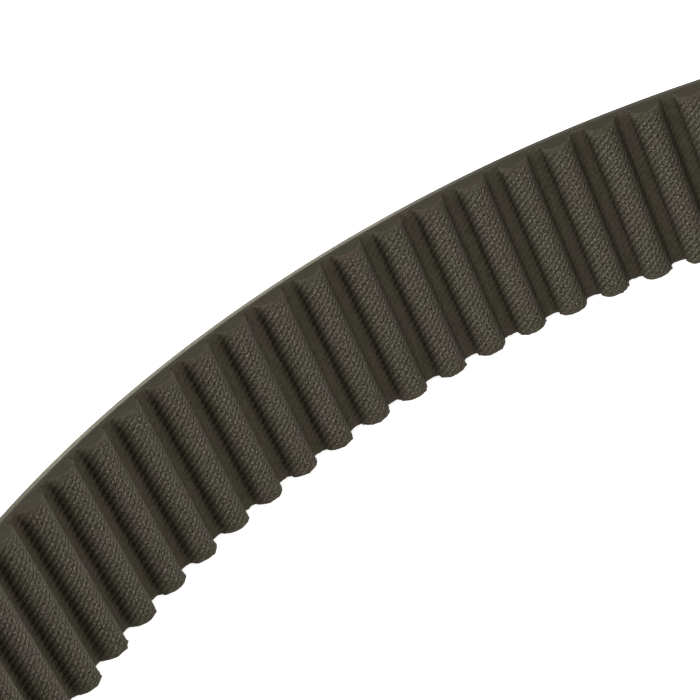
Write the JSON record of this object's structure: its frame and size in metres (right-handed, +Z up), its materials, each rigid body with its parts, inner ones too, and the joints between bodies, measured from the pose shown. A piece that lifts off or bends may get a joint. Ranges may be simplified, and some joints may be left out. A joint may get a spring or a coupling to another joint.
{
  "type": "timing belt",
  "caption": "Endless rubber timing belt standing on its side edge: smooth back, rounded teeth faced with twill fabric on the inside of the loop, cords wound inside.",
  "frame": {"origin": "middle of the loop, level with the lower side edge that it stands on", "axes": "+Z up, along the loop's axis and across the belt's width; +X through the middle of the root link, -X through the open pivot"},
  "size_m": [0.2484, 0.2484, 0.03],
  "materials": {
    "rubber_body": "matt moulded rubber with cut side edges",
    "tooth_facing": "dark twill-woven nylon, rubber impregnated",
    "tension_cord": "twisted glass-fibre strand, treated"
  },
  "bodies": {
    "link_00": {"rubber_00": "rubber_body", "facing_00": "tooth_facing", "cords_00": "tension_cord"},
    "link_01": {"rubber_01": "rubber_body", "facing_01": "tooth_facing", "cords_01": "tension_cord"},
    "link_02": {"rubber_02": "rubber_body", "facing_02": "tooth_facing", "cords_02": "tension_cord"},
    "link_03": {"rubber_03": "rubber_body", "facing_03": "tooth_facing", "cords_03": "tension_cord"},
    "link_04": {"rubber_04": "rubber_body", "facing_04": "tooth_facing", "cords_04": "tension_cord"},
    "link_05": {"rubber_05": "rubber_body", "facing_05": "tooth_facing", "cords_05": "tension_cord"},
    "link_06": {"rubber_06": "rubber_body", "facing_06": "tooth_facing", "cords_06": "tension_cord"},
    "link_07": {"rubber_07": "rubber_body", "facing_07": "tooth_facing", "cords_07": "tension_cord"},
    "link_08": {"rubber_08": "rubber_body", "facing_08": "tooth_facing", "cords_08": "tension_cord"},
    "link_09": {"rubber_09": "rubber_body", "facing_09": "tooth_facing", "cords_09": "tension_cord"},
    "link_10": {"rubber_10": "rubber_body", "facing_10": "tooth_facing", "cords_10": "tension_cord"},
    "link_11": {"rubber_11": "rubber_body", "facing_11": "tooth_facing", "cords_11": "tension_cord"},
    "link_12": {"rubber_12": "rubber_body", "facing_12": "tooth_facing", "cords_12": "tension_cord"},
    "link_13": {"rubber_13": "rubber_body", "facing_13": "tooth_facing", "cords_13": "tension_cord"},
    "link_14": {"rubber_14": "rubber_body", "facing_14": "tooth_facing", "cords_14": "tension_cord"},
    "link_15": {"rubber_15": "rubber_body", "facing_15": "tooth_facing", "cords_15": "tension_cord"},
    "link_16": {"rubber_16": "rubber_body", "facing_16": "tooth_facing", "cords_16": "tension_cord"}
  },
  "joints": [
    {"name": "flex_01", "type": "hinge", "parent": "link_00", "child": "link_01", "pos_m": [0.11988, 0.02385, 0], "axis": [0, 0, 1], "range_deg": [-15, 15], "stiffness_Nm_per_rad": 0.4},
    {"name": "flex_02", "type": "hinge", "parent": "link_01", "child": "link_02", "pos_m": [0.10163, 0.06791, 0], "axis": [0, 0, 1], "range_deg": [-6.26, 6.26]},
    {"name": "flex_03", "type": "hinge", "parent": "link_02", "child": "link_03", "pos_m": [0.06791, 0.10163, 0], "axis": [0, 0, 1], "range_deg": [-6.26, 6.26]},
    {"name": "flex_04", "type": "hinge", "parent": "link_03", "child": "link_04", "pos_m": [0.02385, 0.11988, 0], "axis": [0, 0, 1], "range_deg": [-15, 15]},
    {"name": "flex_05", "type": "hinge", "parent": "link_04", "child": "link_05", "pos_m": [-0.02385, 0.11988, 0], "axis": [0, 0, 1], "range_deg": [-15, 15]},
    {"name": "flex_06", "type": "hinge", "parent": "link_05", "child": "link_06", "pos_m": [-0.06791, 0.10163, 0], "axis": [0, 0, 1], "range_deg": [-6.26, 6.26]},
    {"name": "flex_07", "type": "hinge", "parent": "link_06", "child": "link_07", "pos_m": [-0.10163, 0.06791, 0], "axis": [0, 0, 1], "range_deg": [-6.26, 6.26]},
    {"name": "flex_08", "type": "hinge", "parent": "link_07", "child": "link_08", "pos_m": [-0.11988, 0.02385, 0], "axis": [0, 0, 1], "range_deg": [-15, 15]},
    {"name": "flex_16", "type": "hinge", "parent": "link_00", "child": "link_16", "pos_m": [0.11988, -0.02385, 0], "axis": [0, 0, -1], "range_deg": [-15, 15]},
    {"name": "flex_15", "type": "hinge", "parent": "link_16", "child": "link_15", "pos_m": [0.10163, -0.06791, 0], "axis": [0, 0, -1], "range_deg": [-6.26, 6.26]},
    {"name": "flex_14", "type": "hinge", "parent": "link_15", "child": "link_14", "pos_m": [0.06791, -0.10163, 0], "axis": [0, 0, -1], "range_deg": [-6.26, 6.26]},
    {"name": "flex_13", "type": "hinge", "parent": "link_14", "child": "link_13", "pos_m": [0.02385, -0.11988, 0], "axis": [0, 0, -1], "range_deg": [-15, 15]},
    {"name": "flex_12", "type": "hinge", "parent": "link_13", "child": "link_12", "pos_m": [-0.02385, -0.11988, 0], "axis": [0, 0, -1], "range_deg": [-15, 15]},
    {"name": "flex_11", "type": "hinge", "parent": "link_12", "child": "link_11", "pos_m": [-0.06791, -0.10163, 0], "axis": [0, 0, -1], "range_deg": [-6.26, 6.26]},
    {"name": "flex_10", "type": "hinge", "parent": "link_11", "child": "link_10", "pos_m": [-0.10163, -0.06791, 0], "axis": [0, 0, -1], "range_deg": [-6.26, 6.26]},
    {"name": "flex_09", "type": "hinge", "parent": "link_10", "child": "link_09", "pos_m": [-0.11988, -0.02385, 0], "axis": [0, 0, -1], "range_deg": [-15, 15]}
  ],
  "couplings": [
    {"joint": "flex_02", "follows": "flex_01", "ratio": 0.41421},
    {"joint": "flex_03", "follows": "flex_01", "ratio": -0.41421},
    {"joint": "flex_04", "follows": "flex_01", "ratio": -1},
    {"joint": "flex_05", "follows": "flex_01", "ratio": -1},
    {"joint": "flex_06", "follows": "flex_01", "ratio": -0.41421},
    {"joint": "flex_07", "follows": "flex_01", "ratio": 0.41421},
    {"joint": "flex_08", "follows": "flex_01", "ratio": 1},
    {"joint": "flex_16", "follows": "flex_01", "ratio": 1},
    {"joint": "flex_15", "follows": "flex_01", "ratio": 0.41421},
    {"joint": "flex_14", "follows": "flex_01", "ratio": -0.41421},
    {"joint": "flex_13", "follows": "flex_01", "ratio": -1},
    {"joint": "flex_12", "follows": "flex_01", "ratio": -1},
    {"joint": "flex_11", "follows": "flex_01", "ratio": -0.41421},
    {"joint": "flex_10", "follows": "flex_01", "ratio": 0.41421},
    {"joint": "flex_09", "follows": "flex_01", "ratio": 1}
  ]
}
